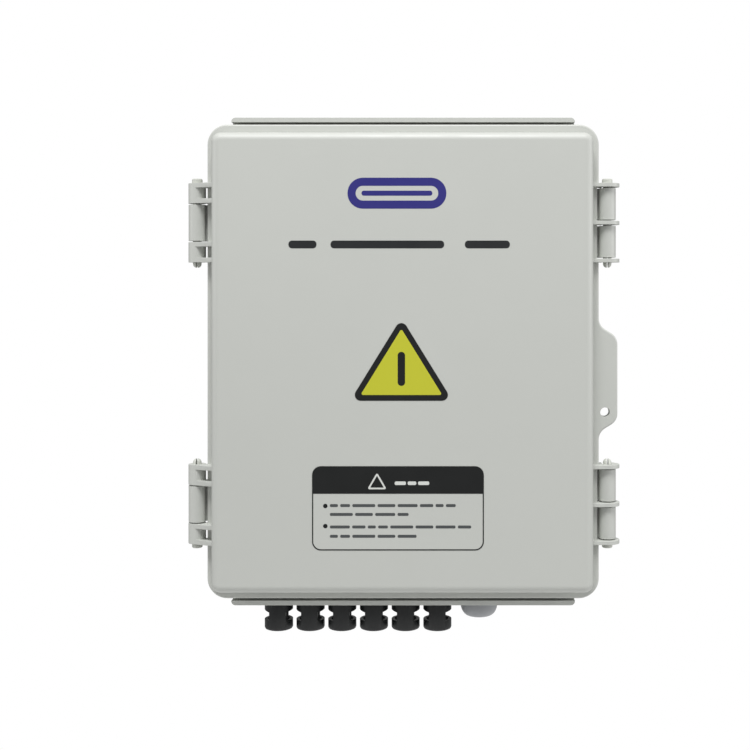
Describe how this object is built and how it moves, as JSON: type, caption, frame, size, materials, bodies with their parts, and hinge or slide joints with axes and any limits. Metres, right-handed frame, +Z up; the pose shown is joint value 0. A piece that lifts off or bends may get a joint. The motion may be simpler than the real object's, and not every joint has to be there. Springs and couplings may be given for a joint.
{
  "type": "dc combiner box",
  "caption": "Wall-mounted solar DC combiner box: hinged lid, removable pins, tilt-out fuse drawers, breaker lever, pull-out surge cartridges, string connectors and a cable gland.",
  "frame": {"origin": "centre of the back face that lies against the wall", "axes": "+Z up along the height, -Y out of the wall towards the lid, +X to the right seen from the front"},
  "size_m": [0.2982, 0.1243, 0.3646],
  "materials": {
    "enclosure_plastic": "fine satin moulded plastic",
    "pin_plastic": "satin moulded plastic",
    "label_film": "printed film, satin",
    "gasket_rubber": "matt foam rubber",
    "plate_steel": "zinc plated",
    "rail_steel": "zinc plated, bright",
    "screw_steel": "bright zinc",
    "stop_plastic": "matt",
    "device_plastic": "fine matt moulded plastic",
    "drawer_plastic": "satin moulded plastic",
    "fuse_ceramic": "glazed ceramic with plated ends",
    "lever_plastic": "satin black",
    "cartridge_plastic": "satin orange",
    "copper": "bright copper",
    "brass": "bright brass",
    "red_insulation": "satin",
    "black_insulation": "satin",
    "earth_insulation": "satin, green and yellow",
    "connector_plastic": "satin black moulded plastic",
    "contact_metal": "tin plated",
    "seal_rubber": "matt",
    "gland_plastic": "satin grey moulded plastic"
  },
  "bodies": {
    "enclosure": {"base_shell": "enclosure_plastic", "mounting_plate": "plate_steel", "plate_screws": "screw_steel", "upper_din_rail": "rail_steel", "lower_din_rail": "rail_steel", "rail_screws": "screw_steel", "rail_end_stops": "stop_plastic", "fuse_holder_1": "device_plastic", "fuse_holder_2": "device_plastic", "fuse_holder_3": "device_plastic", "fuse_holder_4": "device_plastic", "fuse_holder_5": "device_plastic", "fuse_holder_6": "device_plastic", "breaker_case": "device_plastic", "surge_base": "device_plastic", "terminal_screws": "screw_steel", "comb_bar_positive": "copper", "comb_bar_negative": "copper", "earth_bar": "brass", "string_leads_positive": "red_insulation", "string_leads_negative": "black_insulation", "feed_leads_positive": "red_insulation", "feed_leads_negative": "black_insulation", "earth_lead": "earth_insulation", "string_connector_1": "connector_plastic", "string_connector_2": "connector_plastic", "string_connector_3": "connector_plastic", "string_connector_4": "connector_plastic", "string_connector_5": "connector_plastic", "string_connector_6": "connector_plastic", "connector_contacts": "contact_metal", "connector_seals": "seal_rubber", "connector_nuts": "connector_plastic", "gland_body": "gland_plastic", "gland_seal": "seal_rubber", "gland_locknut": "gland_plastic"},
    "lid": {"lid_shell": "enclosure_plastic", "lid_gasket": "gasket_rubber", "lid_labels": "label_film"},
    "left_pin_upper": {"left_pin_upper": "pin_plastic"},
    "left_pin_lower": {"left_pin_lower": "pin_plastic"},
    "right_pin_upper": {"right_pin_upper": "pin_plastic"},
    "right_pin_lower": {"right_pin_lower": "pin_plastic"},
    "drawer_1": {"fuse_drawer_1": "drawer_plastic", "fuse_link_1": "fuse_ceramic"},
    "drawer_2": {"fuse_drawer_2": "drawer_plastic", "fuse_link_2": "fuse_ceramic"},
    "drawer_3": {"fuse_drawer_3": "drawer_plastic", "fuse_link_3": "fuse_ceramic"},
    "drawer_4": {"fuse_drawer_4": "drawer_plastic", "fuse_link_4": "fuse_ceramic"},
    "drawer_5": {"fuse_drawer_5": "drawer_plastic", "fuse_link_5": "fuse_ceramic"},
    "drawer_6": {"fuse_drawer_6": "drawer_plastic", "fuse_link_6": "fuse_ceramic"},
    "lever": {"breaker_lever": "lever_plastic"},
    "cartridge_1": {"surge_cartridge_1": "cartridge_plastic"},
    "cartridge_2": {"surge_cartridge_2": "cartridge_plastic"},
    "cartridge_3": {"surge_cartridge_3": "cartridge_plastic"},
    "gland_cap": {"gland_cap": "gland_plastic"}
  },
  "joints": [
    {"name": "lid_hinge", "type": "hinge", "parent": "enclosure", "child": "lid", "pos_m": [-0.1426, -0.1055, 0], "axis": [0, 0, -1], "range_deg": [0, 170]},
    {"name": "left_pin_upper_slide", "type": "slide", "parent": "enclosure", "child": "left_pin_upper", "axis": [0, 0, 1], "range_m": [0, 0.062]},
    {"name": "left_pin_lower_slide", "type": "slide", "parent": "enclosure", "child": "left_pin_lower", "axis": [0, 0, -1], "range_m": [0, 0.062]},
    {"name": "right_pin_upper_slide", "type": "slide", "parent": "enclosure", "child": "right_pin_upper", "axis": [0, 0, 1], "range_m": [0, 0.062]},
    {"name": "right_pin_lower_slide", "type": "slide", "parent": "enclosure", "child": "right_pin_lower", "axis": [0, 0, -1], "range_m": [0, 0.062]},
    {"name": "drawer_1_tilt", "type": "hinge", "parent": "enclosure", "child": "drawer_1", "pos_m": [-0.0795, -0.0725, -0.0695], "axis": [1, 0, 0], "range_deg": [0, 80]},
    {"name": "drawer_2_tilt", "type": "hinge", "parent": "enclosure", "child": "drawer_2", "pos_m": [-0.0615, -0.0725, -0.0695], "axis": [1, 0, 0], "range_deg": [0, 80]},
    {"name": "drawer_3_tilt", "type": "hinge", "parent": "enclosure", "child": "drawer_3", "pos_m": [-0.0435, -0.0725, -0.0695], "axis": [1, 0, 0], "range_deg": [0, 80]},
    {"name": "drawer_4_tilt", "type": "hinge", "parent": "enclosure", "child": "drawer_4", "pos_m": [-0.0255, -0.0725, -0.0695], "axis": [1, 0, 0], "range_deg": [0, 80]},
    {"name": "drawer_5_tilt", "type": "hinge", "parent": "enclosure", "child": "drawer_5", "pos_m": [-0.0075, -0.0725, -0.0695], "axis": [1, 0, 0], "range_deg": [0, 80]},
    {"name": "drawer_6_tilt", "type": "hinge", "parent": "enclosure", "child": "drawer_6", "pos_m": [0.0105, -0.0725, -0.0695], "axis": [1, 0, 0], "range_deg": [0, 80]},
    {"name": "lever_switch", "type": "hinge", "parent": "enclosure", "child": "lever", "pos_m": [-0.0345, -0.0735, 0.075], "axis": [1, 0, 0], "range_deg": [0, 60]},
    {"name": "cartridge_1_pull", "type": "slide", "parent": "enclosure", "child": "cartridge_1", "axis": [0, -1, 0], "range_m": [0, 0.035]},
    {"name": "cartridge_2_pull", "type": "slide", "parent": "enclosure", "child": "cartridge_2", "axis": [0, -1, 0], "range_m": [0, 0.035]},
    {"name": "cartridge_3_pull", "type": "slide", "parent": "enclosure", "child": "cartridge_3", "axis": [0, -1, 0], "range_m": [0, 0.035]},
    {"name": "gland_cap_turn", "type": "hinge", "parent": "enclosure", "child": "gland_cap", "pos_m": [0.0532, -0.064, -0.16], "axis": [0, 0, -1], "range_deg": [0, 360]}
  ]
}
